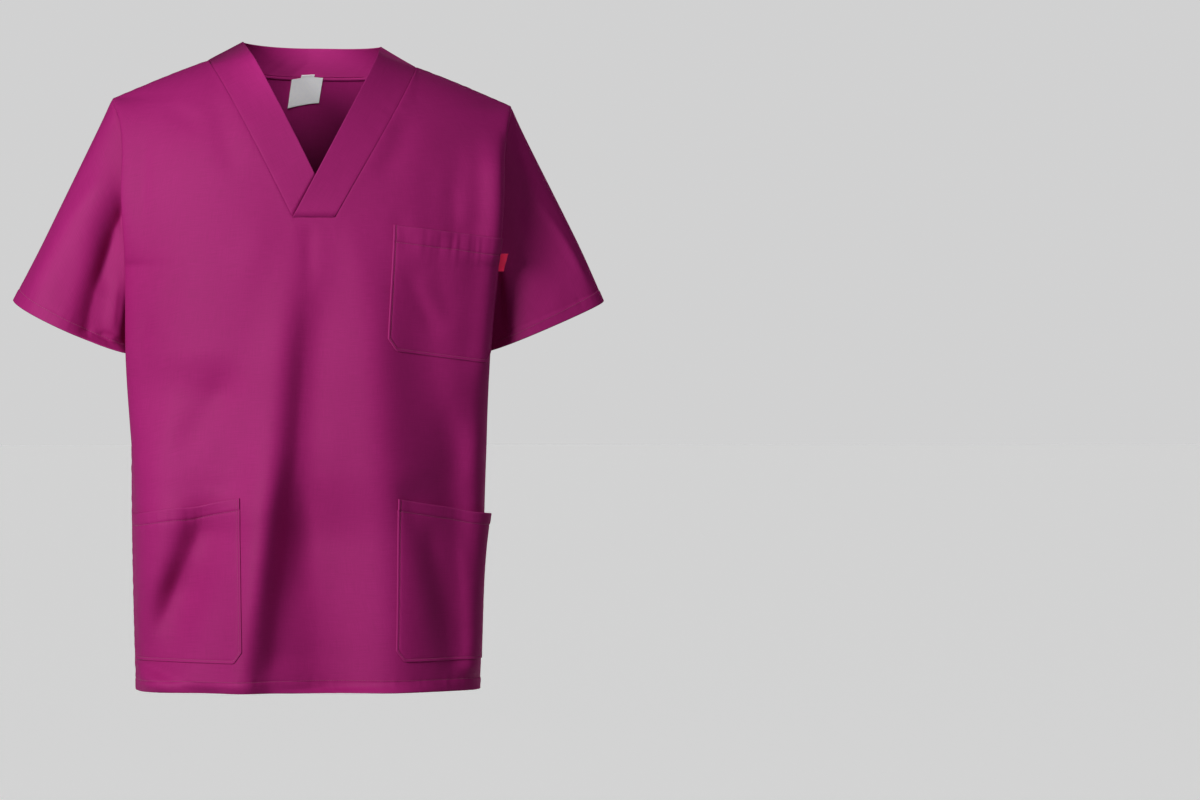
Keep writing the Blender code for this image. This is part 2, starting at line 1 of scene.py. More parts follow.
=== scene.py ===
# A short-sleeved V-neck scrub top in raspberry poplin, filled out as if it were worn.
# Metres, +Z up, the front faces -Y, so +X is the wearer's left. The crease tables are in millimetres.
import bpy
import numpy as np
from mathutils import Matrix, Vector


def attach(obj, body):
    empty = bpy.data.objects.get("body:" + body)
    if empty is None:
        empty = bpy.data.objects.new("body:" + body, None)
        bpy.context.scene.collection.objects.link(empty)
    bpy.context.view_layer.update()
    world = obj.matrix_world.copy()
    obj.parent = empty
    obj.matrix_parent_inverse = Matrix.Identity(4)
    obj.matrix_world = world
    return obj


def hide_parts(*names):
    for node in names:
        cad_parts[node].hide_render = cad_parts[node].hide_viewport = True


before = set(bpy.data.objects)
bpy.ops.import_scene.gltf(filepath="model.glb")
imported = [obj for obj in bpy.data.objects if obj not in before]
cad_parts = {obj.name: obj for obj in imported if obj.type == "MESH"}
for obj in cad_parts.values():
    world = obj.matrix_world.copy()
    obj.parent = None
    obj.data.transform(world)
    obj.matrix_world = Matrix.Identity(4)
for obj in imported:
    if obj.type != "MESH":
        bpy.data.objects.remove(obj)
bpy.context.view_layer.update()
scene = bpy.context.scene
print("frame:", ", ".join(sorted(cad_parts)))


# A share, kept between 0 and 1.
def clamp(share):
    return np.clip(share, 0.0, 1.0)


# 0 below 0, 1 above 1 and the even curve 3t^2 - 2t^3 between.
def ease(share):
    share = clamp(share)
    return share * share * (3.0 - 2.0 * share)


def unit(vectors):
    return vectors / np.maximum(np.linalg.norm(vectors, axis=-1, keepdims=True), 1e-12)


# A bump of height 1 at `at`, that falls off as exp(-(distance / width)^2).
def bell(distance, at, width):
    return np.exp(-((distance - at) / width) ** 2)


# Distances given in tenths of a millimetre.
def tenths(*values):
    return tuple(np.array(values) / 10000)


# Stations from 0 to length: fine ones at each end, and even ones no further apart than step between.
def stations(length, step, lowFine=(), highFine=()):
    low, high = np.array(lowFine or (0.0,)), length - np.array(highFine or (0.0,))[::-1]
    count = max(1, int(np.ceil((high[0] - low[-1]) / step)))
    return np.concatenate((low, np.linspace(low[-1], high[0], count + 1)[1:-1], high))


# Heights of a grid's rows over its foot: fine ones at foot and top, even shares of the rise between.
def risingRows(rise, low, high, step, span):
    low, high = np.array(low), np.array(high)[::-1]
    middle = np.linspace(0.0, 1.0, int(span / step))[1:-1, None]
    return np.concatenate((low[:, None] + 0.0 * rise, low[-1] + middle * (rise - low[-1] - high[0]),
                           rise - high[:, None]))


# A sum of sine waves of unlike length, so that no two puckers are the same: about -1 to 1.
def uneven(place, pitch, seed):
    waves = np.random.default_rng(seed)
    total = np.zeros(np.shape(place))
    for k in range(5):
        length = pitch * (0.65 + 0.28 * k) * (1.0 + 0.12 * waves.uniform(-1.0, 1.0))
        total = total + np.sin(2 * np.pi * (place / length + waves.uniform())) * (0.55 - 0.07 * k)
    return total * 0.7


# The cubic from one value to the next with a slope at each, for t from 0 to 1.
def cubic(t, start, end, startSlope, endSlope):
    return ((2 * t ** 3 - 3 * t ** 2 + 1) * start + (t ** 3 - 2 * t ** 2 + t) * startSlope
            + (3 * t ** 2 - 2 * t ** 3) * end + (t ** 3 - t ** 2) * endSlope)


# A smooth line through points, in cubics whose slopes are half the step between both neighbours.
def throughPoints(points, perStretch=8):
    slopes = np.gradient(points, axis=0)
    t = np.linspace(0.0, 1.0, perStretch, endpoint=False)[:, None]
    line = [cubic(t, points[k], points[k + 1], slopes[k], slopes[k + 1]) for k in range(len(points) - 1)]
    return np.concatenate(line + [points[-1:]])


# Height of creases: for each its height times exp(-(distance to its line / width)^2), with
# one width on each side, eased in and out along its length. A row holds the line as pairs across and
# along, the widths on its left and right going down it and its height, in millimetres, then the
# percentages of its length to ease in and out.
def creaseHeight(rows, across, along):
    across, along = np.broadcast_arrays(across, along)
    places = np.stack((across.ravel(), along.ravel()), axis=-1)
    rank = np.arange(len(places))
    total = np.zeros(len(places))
    for *line, leftWidth, rightWidth, height, easeIn, easeOut in rows:
        path = throughPoints(np.reshape(line, (-1, 2)) / 1000)
        start, run = path[:-1], np.diff(path, axis=0)
        lengths = np.linalg.norm(run, axis=1)
        offset = places[:, None] - start
        share = clamp((offset * run).sum(axis=-1) / lengths ** 2)
        gap = offset - share[..., None] * run
        distance = np.hypot(gap[..., 0], gap[..., 1])
        nearest = distance.argmin(axis=1)
        beside = run[nearest, 0] * offset[rank, nearest, 1] - run[nearest, 1] * offset[rank, nearest, 0]
        soFar = runningLength(path, 0)
        down = (soFar[nearest] + share[rank, nearest] * lengths[nearest]) / soFar[-1]
        width = np.where(beside > 0, rightWidth, leftWidth) / 1000
        total += (height / 1000 * bell(distance[rank, nearest], 0.0, width)
                  * ease(down / (easeIn / 100)) * ease((1.0 - down) / (easeOut / 100)))
    return total.reshape(across.shape)


# Height of straight folds: each height times exp(-(distance aside / half width)^2), eased in and out
# over a quarter of its length.
def foldHeight(rows, across, along):
    total = np.zeros(np.broadcast(across, along).shape)
    for topAcross, topAlong, lowAcross, lowAlong, halfWidth, height in rows:
        run = np.array((lowAcross - topAcross, lowAlong - topAlong))
        length = np.hypot(*run)
        run = run / length
        down = ((across - topAcross) * run[0] + (along - topAlong) * run[1]) / length
        aside = (across - topAcross) * run[1] - (along - topAlong) * run[0]
        total = total + height * bell(aside, 0.0, halfWidth) * ease(down * 4.0) * ease((1.0 - down) * 4.0)
    return total


# Unit normals of a grid: the cross product of its two gradients, turned outward.
def gridNormals(points, outward, ring=False):
    if ring:
        points = np.concatenate((points[:, -1:], points, points[:, :1]), axis=1)
    normals = unit(np.cross(np.gradient(points, axis=0), np.gradient(points, axis=1)))
    if ring:
        normals = normals[:, 1:-1]
    return normals * np.sign(np.sum(normals * outward, axis=-1).mean())


# Running length from the first point along one axis of a grid or a line.
def runningLength(points, axis):
    steps = np.linalg.norm(np.diff(points, axis=axis), axis=-1)
    first = np.zeros_like(np.take(steps, [0], axis=axis))
    return np.concatenate((first, np.cumsum(steps, axis=axis)), axis=axis)


# Points at the wanted places of a line, straight between its own.
def pointsAt(wanted, places, line):
    return np.stack([np.interp(wanted, places, line[:, axis]) for axis in range(3)], axis=-1)


# A grid whose first column comes again at the end.
def closedRound(points):
    return np.concatenate((points, points[:, :1]), axis=1)


# A grid as it is made: points moved out along the normals, places on the cloth in metres, and wear.
def raised(points, normals, lift, across, along, wear):
    return {"points": points + normals * lift[..., None], "normals": normals,
            "uv": np.stack((across, along), axis=-1), "wear": wear}


# Sewn and folded cloth: how far it stands out or is pulled in, and how wide its rounded edges are.
sewing = {"hemStands": 0.0004, "hemPulled": 0.00045, "hemRipple": 0.00030, "hemEdge": 0.0011,
          "seamReach": 0.0016, "seamFade": 0.020, "bandStands": 0.0005, "bandTuck": 0.0012,
          "bandPucker": 0.00022, "bandEdge": 0.0009, "bandFine": tenths(0, 3, 7, 13, 21, 35),
          "pocketEdge": 0.0010, "sideSeam": 0.0009, "topSeam": 0.0006, "armSeam": 0.0007, "underSeam": 0.0008}


# How far an edge is rounded off: a quarter circle of the given radius, and nothing beyond it.
def roundedOff(distance, radius):
    return radius * (1.0 - np.sqrt(1.0 - clamp(1.0 - distance / radius) ** 2))


# A sewn edge: it rises from the seam as 1 - exp(-distance / reach), fades as a bell, and is puckered.
def seamRoll(distance, place, height, seed):
    roll = (1.0 - np.exp(-distance / sewing["seamReach"])) * bell(distance, 0.0, sewing["seamFade"])
    pucker = 0.35 * uneven(place, 0.017, seed) * bell(distance, 0.006, 0.009)
    return height * (roll + pucker)


# A hem: its doubled cloth stands out, the stitching pulls it in, it ripples between stitching and edge,
# and its edge is rounded off.
def hemRoll(distance, place, depth, seed):
    inHem = 1.0 - ease((distance - depth + 0.0008) / 0.0016)
    height = sewing["hemStands"] * inHem - sewing["hemPulled"] * bell(distance, depth, 0.0012)
    ripple = sewing["hemRipple"] * uneven(place, 0.014, seed) * bell(distance, depth * 0.8, depth * 0.7)
    return height + ripple - roundedOff(distance, sewing["hemEdge"])


body = {
    "sections": (  # in mm: z, half width, depth in front and behind, how far the side is pressed in
        (-740, 196.5, 120, 124, 0), (-620, 200, 125, 122, 0), (-500, 202, 127, 119, 0),
        (-400, 204.5, 126, 118, 3), (-330, 207, 124, 118, 9), (-235, 212.5, 119, 118, 20.5),
        (-190, 216, 116, 117, 19), (-120, 220, 110, 112, 15), (-45, 229, 101, 104, 0), (30, 229, 94, 96, 0)),
    "tipX": 0.229, "tipZ": -0.045, "armpitZ": -0.235, "crownZ": 0.030, "crownPower": 1.4,
    "shoulderRound": 0.150, "squareness": 2.5, "backHollow": 0.012,
    "lapRight": (0.010, 0.56), "lapLeft": (0.003, 0.62),  # how far it laps over the sleeve, and down to where
    "hemZ": -0.722, "leftShoulderDrop": 0.007, "skirtSwing": 0.0045,
}


# The body's sizes at level z, on cubics through the rows of the table.
def bodySizes(z):
    rows = np.array(body["sections"]) / 1000
    levels = rows[:, 0]
    z = np.clip(z, levels[0], levels[-1])
    last = np.clip(np.searchsorted(levels, z), 1, len(levels) - 1)
    step = levels[last] - levels[last - 1]
    t = (z - levels[last - 1]) / step
    slopes = np.gradient(rows, levels, axis=0)
    return [cubic(t, rows[last - 1, k], rows[last, k], step * slopes[last - 1, k], step * slopes[last, k])
            for k in range(1, 5)]


# The shoulder seam's height: the crown less a power of the distance from the middle.
def shoulderLine(x):
    return body["crownZ"] - (body["crownZ"] - body["tipZ"]) * (np.abs(x) / body["tipX"]) ** body["crownPower"]


# Height as a share: 0 at the armpit and 1 at the shoulder tip.
def armholeShare(z):
    return clamp((z - body["armpitZ"]) / (body["tipZ"] - body["armpitZ"]))


# Share of the half width at a step round the panel: the step itself at the shoulder, its sine below.
def spread(step, z):
    high = ease((z + 0.13) / 0.11)
    return (1.0 - high) * np.sin(np.pi / 2 * step) + high * step


panels = {
    "front": {"outward": -1.0, "armhole": 0.036, "hemDrop": -0.002, "seed": 3},
    "back": {"outward": 1.0, "armhole": 0.056, "hemDrop": 0.012, "seed": 5},
}
panels["front"]["folds"] = (  # x and z of the top, x and z of the low end, half width, height
    (-22, -180, -104, -900, 24, 8), (-60, -470, -100, -920, 26, 7), (6, -230, -20, -620, 22, -4.2),
    (4, -430, 44, -900, 42, -8), (60, -170, 94, -860, 34, 8.5), (164, -360, 172, -920, 36, -10),
    (-104, -470, -166, -700, 24, -6))
panels["back"]["folds"] = (
    (-80, -120, -82, -760, 28, 8), (-130, -180, -140, -900, 26, -6.5), (133, -220, 127, -600, 26, -6),
    (136, -60, 158, -190, 18, -5))
panels["front"]["creases"] = (
    (-8, -215, -10, -320, -17, -430, -25, -502, -31, -558, -41, -626, -47, -712, 15, 60, -6.4, 45, 8),
    (-18, -440, -25, -480, -28, -515, -31, -560, -34, -600, -38, -660, 15, 40, -4, 30, 35),
    (-38, -390, -58, -480, -69, -570, -91, -660, -100, -727, 100, 34, 8.5, 35, 5),
    (-2, -470, 4, -560, 8, -640, 12, -726, 40, 110, -12.5, 35, 5),
    (-120, -330, -112, -430, -105, -530, 85, 40, -11, 30, 25),
    (-193, -350, -196, -480, -193, -610, -188, -735, 20, 50, 18, 35, 6),
    (112, -180, 124, -300, 142, -430, 162, -560, 176, -700, 40, 30, -8.5, 25, 10),
    (104, -470, 110, -510, 128, -570, 154, -660, 166, -712, 14, 26, -3.6, 15, 10),
    (-148, -500, -168, -570, -190, -632, 16, 12, 3, 30, 35),
    (-112, -490, -138, -565, -158, -620, -192, -712, 30, 46, -16.5, 22, 10),
    (-140, -560, -160, -620, -190, -705, 22, 34, -11, 35, 10),
    (-84, -346, -120, -401, -161, -466, 17, 15, -3, 35, 35),
    (-59, -310, -79, -389, -109, -468, 18, 18, 1.8, 40, 40),
    (-144, -234, -162, -268, -179, -310, 11, 10, -1.3, 40, 40),
    (-180, -277, -192, -310, -196, -358, 9, 8, -1.4, 40, 40),
    (-197, -65, -196, -119, -200, -209, 9, 8, -1.6, 35, 40),
    (-178, -47, -149, -69, -120, -85, 12, 11, -1.6, 40, 40),
    (-116, -35, -107, -85, -92, -150, 15, 14, -2.2, 30, 40),
    (106, -49, 90, -99, 66, -155, 15, 16, -2.2, 30, 40),
    (172, -74, 174, -130, 170, -200, 12, 12, 2, 40, 20),
    (128, -108, 126, -153, 130, -210, 16, 12, -1.2, 40, 20),
    (150, -120, 153, -170, 156, -230, 18, 10, -2, 40, 25),
    (95, -229, 116, -274, 144, -326, 11, 18, -1.3, 30, 30),
    (127, -189, 141, -248, 159, -310, 12, 20, -1.8, 30, 30),
    (112, -241, 130, -277, 151, -310, 9, 9, 1.6, 40, 40),
    (208, -65, 209, -200, 206, -310, 199, -420, 23, 12, 19, 20, 25),
    (197, -360, 194, -450, 193, -560, 191, -710, 22, 14, 9.5, 25, 5),
    (-118, -522, -142, -572, -176, -662, 15, 20, -3, 20, 25),
    (-86, -536, -109, -603, -143, -677, 17, 16, 1.6, 30, 30),
    (125, -519, 139, -587, 159, -665, 10, 14, -2.8, 25, 30),
    (163, -525, 177, -603, 183, -716, 9, 10, 1.8, 30, 30),
    (-64, -171, -73, -220, -91, -277, 20, 20, 1.4, 40, 40),
    (26, -170, 43, -232, 54, -310, 16, 18, 1.6, 30, 50),
    (84, -170, 99, -207, 107, -234, 11, 10, -1.4, 40, 40),
    (-13, -180, -11, -220, -11, -277, 9, 9, -1.8, 30, 50),
    (141, -387, 161, -434, 168, -493, 15, 14, -1.8, 40, 35),
    (185, -358, 190, -423, 181, -491, 11, 11, 1.4, 40, 40),
    (-149, -358, -163, -412, -174, -468, 14, 14, 1.2, 40, 40),
    (-73, -677, -58, -705, -44, -734, 10, 9, -1.2, 40, 20))
panels["back"]["creases"] = (
    (-196, -110, -197, -220, -193, -380, -190, -560, -190, -710, 15, 30, 12, 20, 5),
    (196, -130, 196, -250, 191, -400, 188, -560, 38, 16, 11, 25, 30),
    (107, -48, 138, -105, 153, -162, 9, 13, -4.5, 25, 35),
    (150, -186, 163, -300, 159, -405, 12, 13, -2.8, 30, 40),
    (169, -405, 172, -511, 165, -605, 12, 11, -1.6, 40, 40),
    (120, -605, 148, -652, 172, -681, 11, 11, 1.4, 40, 30),
    (-119, -60, -140, -86, -159, -121, 8, 9, 3.4, 25, 35),
    (-130, -98, -147, -151, -149, -239, 12, 10, -4, 30, 40),
    (-95, -74, -104, -169, -99, -287, 12, 12, -1.4, 35, 50),
    (-144, -346, -154, -452, -156, -558, 14, 14, -1.6, 40, 40),
    (-121, -564, -139, -629, -159, -702, 9, 7, 2, 35, 20),
    (-161, -534, -169, -605, -173, -676, 9, 9, -2.2, 40, 30),
    (2, -74, 10, -145, 4, -251, 24, 24, -1, 40, 40),
    (-39, -27, -51, -98, -43, -204, 21, 21, 1, 40, 50),
    (4, -464, 13, -558, 4, -652, 24, 26, -1.2, 40, 40),
    (154, -37, 136, -29, 112, -25, 7, 7, -1, 40, 40))


# The cloth's distance from the side-to-side plane: a squarish ellipse across, a quarter circle over the
# shoulder, and the armhole's bow towards the side.
def bodyDepth(x, z, side):
    halfWidth, front, behind, _ = bodySizes(z)
    middle = front if side == "front" else behind
    across = clamp(np.abs(x) / halfWidth)
    up = armholeShare(z)
    bow = panels[side]["armhole"] * 2.0 * np.sqrt(up * (1.0 - up)) * across ** 6
    rounded = (1.0 - across ** body["squareness"]) ** (1.0 / body["squareness"])
    below = clamp((shoulderLine(x) - z) / body["shoulderRound"])
    return bow + (middle - bow) * rounded * np.sqrt(1.0 - (1.0 - below) ** 2)


# A point of a panel at a step from -1 to 1 round it and a level z: half width times spread across, the
# body's depth plus folds and creases, and the side pressed in. The front laps out over the sleeves as a
# bell that is gone at the side seam.
def panelPoints(step, z, side, creased=True):
    halfWidth, _, _, press = bodySizes(z)
    x = halfWidth * spread(step, z)
    depth = bodyDepth(x, z, side)
    roundSide = 2 / np.pi * np.arcsin(clamp(np.abs(spread(step, z))))
    if side == "front":
        pressed = ease((roundSide - 0.84) / 0.16)
        lap, low = [np.where(step < 0, *pair) for pair in zip(body["lapRight"], body["lapLeft"])]
        lap = lap * bell(roundSide, 0.86, 0.13) * ease((1.0 - roundSide) * 8.0)
        x = x + np.sign(step) * lap * ease((-0.06 - z) / 0.10) * ease((z + low) / 0.24)
    else:
        press = press + body["backHollow"] * np.sin(np.pi * armholeShare(z))
        pressed = ease((roundSide - 0.40) / 0.60)
    atSides = ease((1.0 - np.abs(step)) * 8.0)
    depth = depth + foldHeight(np.array(panels[side]["folds"]) / 1000, x, z) * atSides
    if creased:
        depth = depth + creaseHeight(panels[side]["creases"], x, z) * atSides
    x = x - np.sign(step) * press * pressed
    return np.stack(np.broadcast_arrays(x, panels[side]["outward"] * depth, z), axis=-1)


neck = {
    "x": 0.120, "topX": 0.0790, "topZ": 0.0215, "napeDrop": 0.016, "napeTopDrop": 0.0035, "napeLean": 0.86,
    "vPoint": (-0.004, -0.135), "vEndZ": -0.183, "vEndRight": -0.030, "vEndLeft": 0.0175,
    "lap": 0.0011, "lean": 0.005, "napeTuck": 0.0025,
}


# Where a point hangs: the wearer's left shoulder sits lower and the skirt swings to the right.
def settle(points):
    x, y, z = np.moveaxis(points, -1, 0)
    lower = body["leftShoulderDrop"] * ease(x / neck["x"]) * ease(armholeShare(z))
    return np.stack((x - body["skirtSwing"] * ease((-0.20 - z) / 0.15), y, z - lower), axis=-1)


# Height of a panel's upper edge: the shoulder line outside the neck, the V's straight sides or the nape's
# curve inside it. Level and width depend on each other, so it is settled in rounds.
def neckEdge(step, side):
    z = np.full_like(step, body["tipZ"])
    for _ in range(80):
        x = bodySizes(z)[0] * spread(step, z)
        if side == "front":
            corner = np.where(x > 0, neck["vEndLeft"], -neck["vEndRight"])
            inner = np.maximum(neck["vEndZ"] * (neck["x"] - np.abs(x)) / (neck["x"] - corner), neck["vEndZ"])
        else:
            inner = -neck["napeDrop"] * clamp(1.0 - (x / neck["x"]) ** 2) ** 0.8
        z = (z + np.where(np.abs(x) < neck["x"], inner, shoulderLine(x))) / 2
    return z


# The step at which a panel reaches x on level z.
def stepAt(x, z):
    steps = np.linspace(-1.0, 1.0, 4001)
    return float(np.interp(x, bodySizes(np.array(z))[0] * spread(steps, z), steps))


neckStep = stepAt(neck["x"], 0.0)
vLeftStep, vRightStep = stepAt(neck["vEndLeft"], neck["vEndZ"]), stepAt(neck["vEndRight"], neck["vEndZ"])

cloth = {"step": 0.0031, "rowStep": 0.0034, "thickness": 0.0009, "hem": 0.0135, "cuffHem": 0.0150,
         "fine": tenths(0, 5, 11, 19, 30, 45, 65, 90)}
hemFine = tenths(0, 4, 9, 15, 26, 45, 70, 95, 113, 123, 129, 135, 141, 148, 160, 180, 205)


# Steps round a panel at even distances along the cloth, close together at both side seams, with a
# column in each corner of the neck.
def panelColumns(side):
    steps = np.linspace(-1.0, 1.0, 1601)
    lengths = runningLength(panelPoints(steps, np.full_like(steps, -0.45), side, False), 0)
    chosen = np.interp(stations(lengths[-1], cloth["step"], cloth["fine"], cloth["fine"]), lengths, steps)
    for corner in (-neckStep, neckStep) + ((vRightStep, vLeftStep) if side == "front" else ()):
        chosen[np.argmin(np.abs(chosen - corner))] = corner
    return chosen


# A panel as a grid from hem to neck: levels rise from the hem, and detail is moved out along the normals.
def panelGrid(side):
    panel = panels[side]
    columns = panelColumns(side)
    hem = body["hemZ"] - panel["hemDrop"] * np.cos(np.pi / 2 * columns)
    levels = risingRows(neckEdge(columns, side) - hem, hemFine, cloth["fine"], cloth["rowStep"], 0.70) + hem
    points = panelPoints(columns[None, :] + 0.0 * levels, levels, side)
    normals = gridNormals(points, (0.0, panel["outward"], 0.0))
    across, up = runningLength(points, 1), runningLength(points, 0)
    fromSide = np.minimum(across, across[:, -1:] - across)
    fromTop = up[-1:] - up
    seed = panel["seed"]
    lift = (seamRoll(fromSide, up, sewing["sideSeam"], seed) + hemRoll(up, across, cloth["hem"], seed + 1)
            + seamRoll(fromTop, across, sewing["topSeam"], seed + 2) * ease(up / 0.05))
    lift = lift * np.where(up < 0.03, np.maximum(ease(fromSide / 0.004), 0.3), 1.0)  # faded at the seam
    wear = clamp(1.0 - fromTop / 0.002) * 0.4 + clamp(1.0 - up / 0.0016)
    return {"columns": columns, "base": points,
            **raised(points, normals, lift, across - across[:, -1:] / 2, up, wear)}


grids = {side: panelGrid(side) for side in panels}
print("panels:", {side: grid["points"].shape for side, grid in grids.items()})


sleeves = {
    "cuffTip": (0.341, -0.276), "cuffLow": (0.203, -0.335), "cuffY": 0.008, "cuffDepth": 0.056,
    "underarmBulge": 0.006, "round": 150, "girth": 0.40, "length": 0.25,
    "rightDrop": 0.010, "leftDrop": 0.003,    # how much longer the cuff is in front
    "rightBack": 0.018, "leftBack": 0.006,    # and behind
    # Shifts towards the back: share round it, width, at the top, at the cuff.
    "rightShift": ((0.44, 0.06, 0.0, -0.011),),
    "leftShift": ((0.40, 0.11, -0.020, 0.002), (0.20, 0.12, 0.0, 0.019)),
    # Folds: share round it (0 shoulder tip, 0.5 armpit, front first) and down it, twice, half width, height.
    "rightFolds": ((0.29, 0.20, 0.31, 1.10, 0.045, -0.0010), (0.14, 0.10, 0.12, 1.10, 0.050, 0.0040),
                   (0.70, 0.20, 0.68, 1.00, 0.050, -0.0050)),
    "leftFolds": ((0.40, 0.20, 0.40, 1.10, 0.045, -0.0070), (0.22, 0.10, 0.20, 1.10, 0.050, 0.0030),
                  (0.70, 0.20, 0.68, 1.00, 0.050, -0.0050)),
}
sleeves["right"] = (  # lines round it and down it
    (112, 20, 101, 90, 108, 140, 117, 200, 127, 262, 80, 25, -18.5, 18, 10),
    (109, 70, 115, 140, 121, 180, 55, 17, -5.2, 35, 35),
    (130, 10, 80, 50, 40, 120, 36, 250, 14, 18, 2.6, 30, 20),
    (152, 110, 150, 170, 156, 230, 10, 10, 3.4, 35, 30),
    (134, 240, 160, 229, 192, 234, 8, 12, -4, 30, 30),
    (60, 140, 70, 190, 74, 240, 12, 12, -1.2, 40, 30),
    (232, 60, 250, 130, 262, 200, 12, 14, -3.4, 30, 30),
    (300, 30, 306, 90, 318, 170, 10, 12, 2.2, 30, 40),
    (352, 80, 348, 150, 352, 240, 14, 12, -1.8, 40, 20))
sleeves["left"] = (
    (158, 60, 166, 130, 176, 200, 182, 262, 18, 22, -3, 35, 10),
    (60, 60, 44, 130, 34, 235, 6, 9, 2.6, 35, 30),
    (110, 50, 100, 130, 104, 230, 16, 14, 1.8, 40, 30),
    (236, 50, 246, 110, 252, 180, 10, 13, -3.6, 30, 30),
    (284, 20, 292, 80, 300, 150, 9, 11, 2.6, 30, 40),
    (330, 50, 336, 120, 330, 220, 13, 12, -2.2, 40, 20))


# The armhole as a loop from the shoulder tip down the front and up the back, at even lengths.
def armholeLoop(side, count):
    levels = np.linspace(body["tipZ"], body["armpitZ"], 241)
    loop = []
    for panel in ("front", "back"):
        points = panelPoints(np.full_like(levels, side), levels, panel)
        length = runningLength(points, 0)
        wanted = np.linspace(0.0, length[-1], count // 2 + 1)
        points = pointsAt(wanted, length, points)
        loop.append(points[:-1] if panel == "front" else points[::-1][:-1])
    return np.concatenate(loop)


# Rings from the armhole to the cuff: a straight blend of the armhole and a tilted ellipse, fuller
# under the arm, with folds and creases moved out from the middle of each ring.
def sleeveGrid(name, side, seed):
    count, length = sleeves["round"], sleeves["length"]
    shares = np.arange(count) / count
    turn = 2 * np.pi * shares[:, None]
    tip, low = np.array(sleeves["cuffTip"]), np.array(sleeves["cuffLow"])
    centre = np.array(((tip[0] + low[0]) / 2, sleeves["cuffY"], (tip[1] + low[1]) / 2))
    longWay = np.array(((tip[0] - low[0]) / 2, 0.0, (tip[1] - low[1]) / 2))
    deepWay = np.array((0.0, -sleeves["cuffDepth"], -sleeves[name + "Drop"]))
    cuff = (centre + np.cos(turn) * longWay + np.sin(turn) * deepWay) * (side, 1.0, 1.0)
    down = stations(length, cloth["step"], cloth["fine"], hemFine)[:, None] / length
    armhole, underarm = armholeLoop(side, count), (1.0 - np.cos(2 * np.pi * shares)) / 2
    points = armhole + (cuff - armhole) * down[..., None]
    points[..., 0] += side * sleeves["underarmBulge"] * underarm * np.sin(np.pi * down)
    for at, width, high, low in sleeves[name + "Shift"]:
        shift = high + (low - high) * ease(down * 1.4)
        points[..., 1] += shift * bell(shares, at, width) * ease(down * 6.0)
    points[..., 2] -= sleeves[name + "Back"] * bell(shares, 0.75, 0.13) * ease(down * 1.2)
    outward = unit(points - points.mean(axis=1, keepdims=True))
    folds = foldHeight(sleeves[name + "Folds"], shares[None, :], down) * ease(down * 5.0)
    creases = creaseHeight(sleeves[name], shares[None, :] * sleeves["girth"], down * length)
    points = points + outward * (folds + creases * ease(down * 12.0))[..., None]
    normals = gridNormals(points, outward, ring=True)
    along, around = runningLength(points, 0), runningLength(closedRound(points), 1)
    fromCuff = along[-1:] - along
    place = around[:, :-1]
    fromSeam = np.abs(shares - 0.5)[None, :] * sleeves["girth"]
    detail = (seamRoll(along, place, sewing["armSeam"], seed)
              + hemRoll(fromCuff, place, cloth["cuffHem"], seed + 1)
              - sewing["underSeam"] * bell(fromSeam, 0.0, 0.0022) * ease(along / 0.01))
    wear = clamp(1.0 - fromCuff / 0.0016)
    return raised(points, normals, detail, around + 2.0, -closedRound(along), wear)


for name, side, seed in (("right", -1.0, 11), ("left", 1.0, 17)):
    grids[name + "Sleeve"] = sleeveGrid(name, side, seed)
print("sleeves:", grids["leftSleeve"]["points"].shape)


# A band, straight across from its seam to its free edge: its doubled cloth rises out of the seam, lies
# flat and turns over a rounded edge. A tuck is what lies behind the seam.
def bandGrid(foot, edge, seed, lap=0.0, tuck=0.0):
    width = np.linalg.norm(edge - foot, axis=-1).mean()
    share = stations(width, 0.0026, cloth["fine"], sewing["bandFine"]) / width
    share = np.concatenate(((-tuck / width,), share)) if tuck else share
    points = foot + (edge - foot) * share[:, None, None]
    normals = gridNormals(points, (0.0, 0.0, 1.0))
    across, along = runningLength(points, 0) - tuck, runningLength(points, 1)
    fromEdge = across[-1:] - across
    lift = sewing["bandStands"] * (1.0 - np.exp(-np.maximum(across, 0.0) / sewing["seamReach"]))
    lift = lift - sewing["bandTuck"] * (across < -1e-6) - roundedOff(fromEdge, sewing["bandEdge"])
    lift = lift + sewing["bandPucker"] * uneven(along, 0.023, seed) * bell(across, 0.010, 0.012) + lap
    wear = 0.3 * clamp(1.0 - fromEdge / 0.0022)
    return raised(points, normals, lift, along, across + 1.0, wear)


# The two bands down the V: free edges that are straight seen from the front, at the chest's depth.
def frontBand(foot, side, end, seed, lap):
    run = runningLength(foot, 0)
    share = run / run[-1]
    topX = side * neck["topX"]
    x = topX + (end[0] - topX) * share
    z = neck["topZ"] + (end[1] - neck["topZ"]) * share
    stand = (neck["topZ"] - shoulderLine(neck["topX"])) * (1.0 - ease(share * 2.0))
    lean = neck["lean"] * max(side, 0.0) * ease(share * 3.0) * ease((1.0 - share) * 3.0)
    edge = np.stack((x, -bodyDepth(x, z - stand, "front") - lean, z), axis=-1)
    return bandGrid(foot, edge, seed, lap * ease(share * 1.5 - 0.5)[None, :])


# The band round the nape: its free edge dips in the middle and leans in.
def napeBand(foot):
    share = clamp(1.0 - (foot[:, 0] / neck["x"]) ** 2)
    edge = np.stack((foot[:, 0] * neck["topX"] / neck["x"], foot[:, 1] * neck["napeLean"],
                     neck["topZ"] - neck["napeTopDrop"] * share), axis=-1)
    return bandGrid(foot, edge, 29, tuck=neck["napeTuck"])


